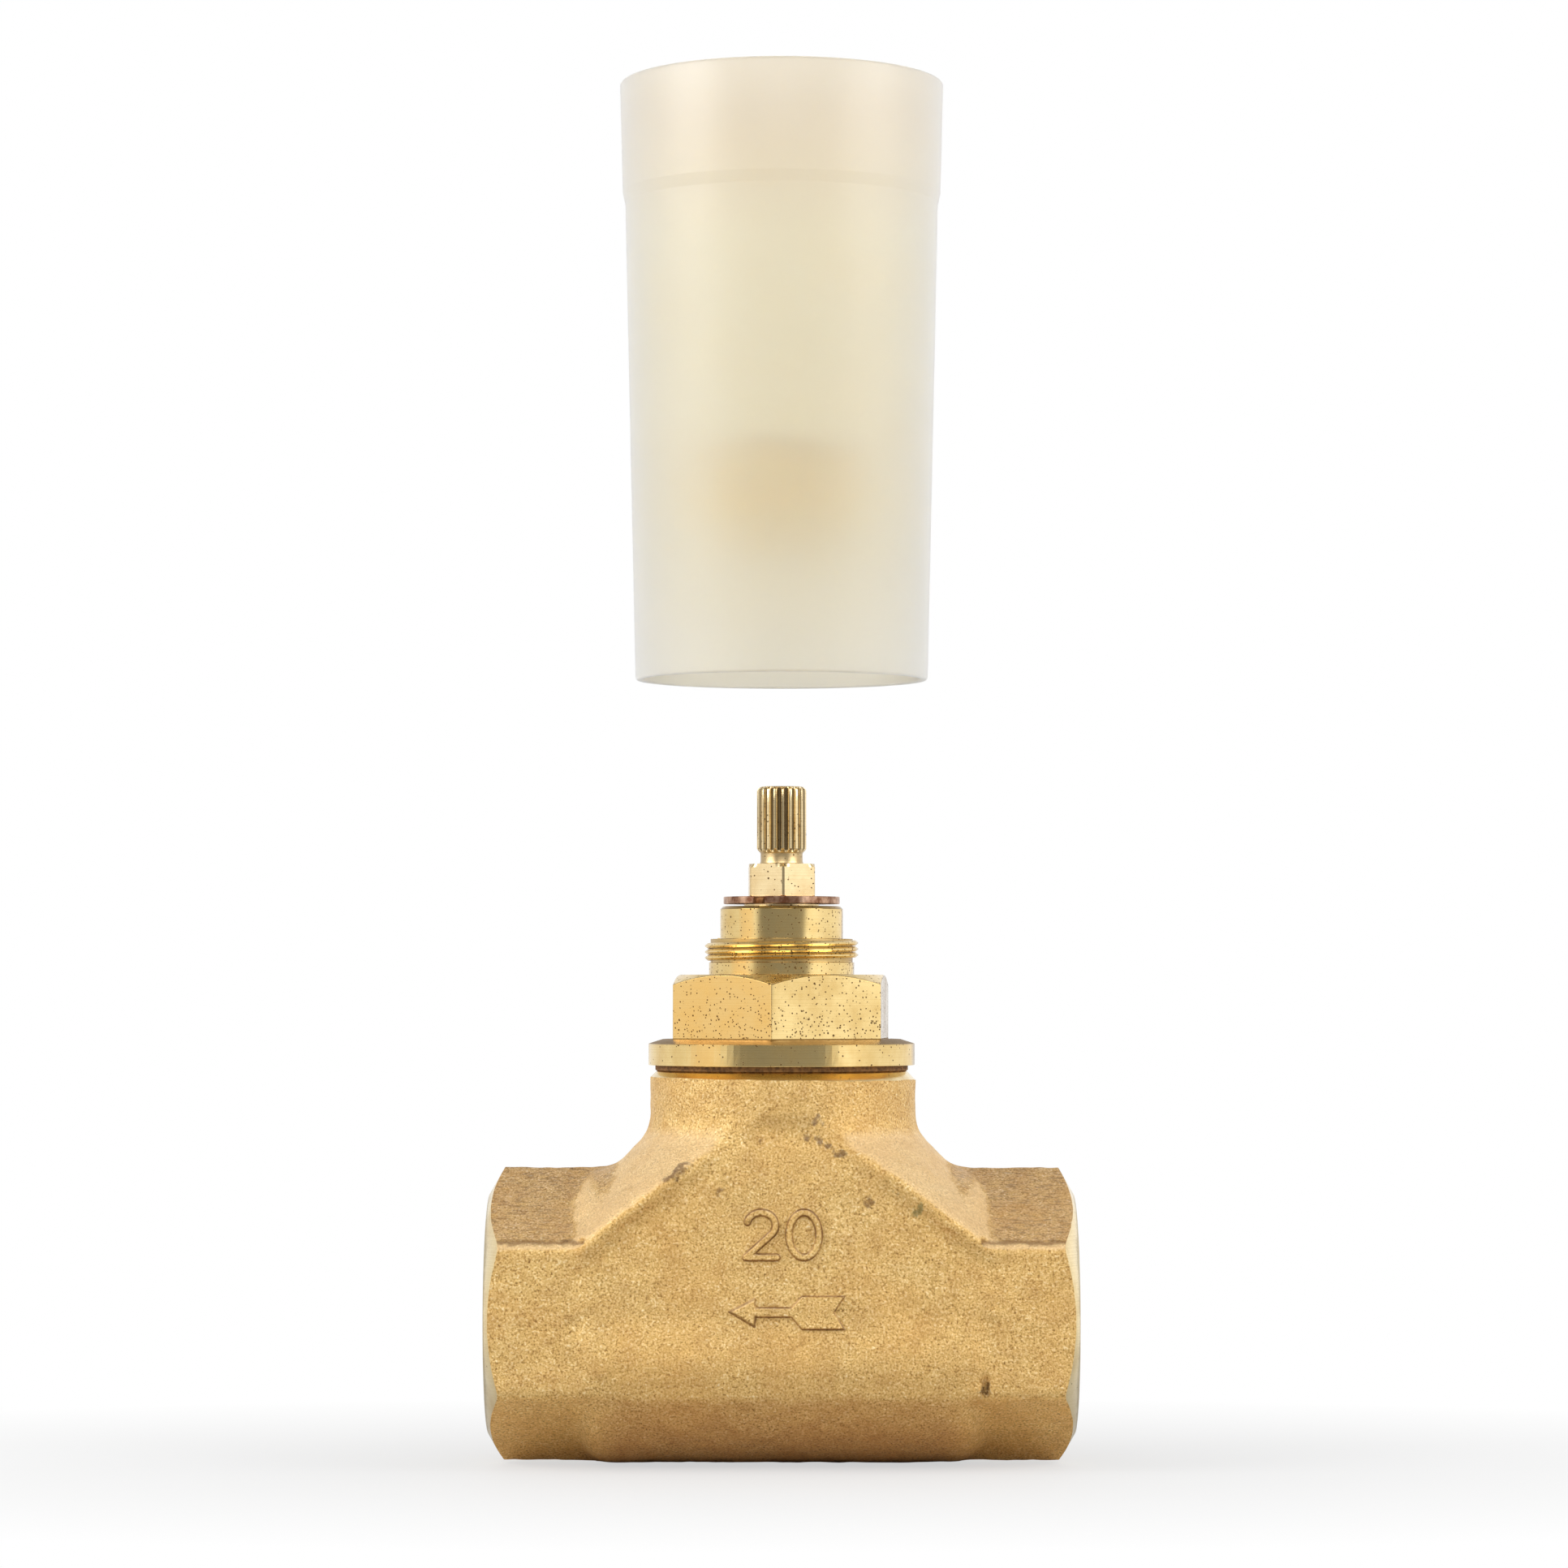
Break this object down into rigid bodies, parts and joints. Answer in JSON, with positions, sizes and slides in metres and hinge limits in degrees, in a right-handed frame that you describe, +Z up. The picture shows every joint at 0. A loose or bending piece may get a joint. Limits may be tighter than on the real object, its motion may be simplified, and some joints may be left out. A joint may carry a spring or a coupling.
{
  "type": "concealed shower valve",
  "caption": "In-wall stop valve for a shower: cast body with threaded ends, splined spindle headwork, and a plastic plaster guard lifted off above it.",
  "frame": {"origin": "under the crossing of the pipe axis and the spindle axis, at the lowest point of the belly", "axes": "+Z up along the spindle, +X along the pipe towards the inlet, -Y is the front that the picture shows"},
  "size_m": [0.0734, 0.041, 0.1741],
  "materials": {
    "cast_brass": "sand cast, dull",
    "turned_brass": "turned, tarnished",
    "copper_ring": "copper coloured, dull",
    "gasket": "dark flat gasket",
    "rubber": "black, matt",
    "slip_plastic": "white, smooth",
    "guard_plastic": "milky, translucent"
  },
  "bodies": {
    "valve": {"valve_body": "cast_brass", "bonnet": "turned_brass", "bonnet_gasket": "gasket"},
    "spindle_set": {"spindle": "turned_brass", "snap_ring": "copper_ring", "slip_ring": "slip_plastic", "spindle_o_ring_upper": "rubber", "spindle_o_ring_lower": "rubber"},
    "plug_set": {"valve_plug": "turned_brass", "plug_o_ring": "rubber", "seat_washer": "rubber", "washer_plate": "turned_brass", "washer_screw": "turned_brass"},
    "guard": {"plaster_guard": "guard_plastic"}
  },
  "joints": [
    {"name": "spindle_turn", "type": "hinge", "parent": "valve", "child": "spindle_set", "pos_m": [0, 0, 0], "axis": [0, 0, 1], "range_deg": [0, 900]},
    {"name": "plug_lift", "type": "slide", "parent": "valve", "child": "plug_set", "axis": [0, 0, 1], "range_m": [0, 0.005]},
    {"name": "guard_lift", "type": "slide", "parent": "valve", "child": "guard", "axis": [0, 0, 1], "range_m": [-0.0563, 0]}
  ],
  "couplings": [
    {"joint": "spindle_turn", "follows": "plug_lift", "rad_per_m": 3141.5}
  ]
}
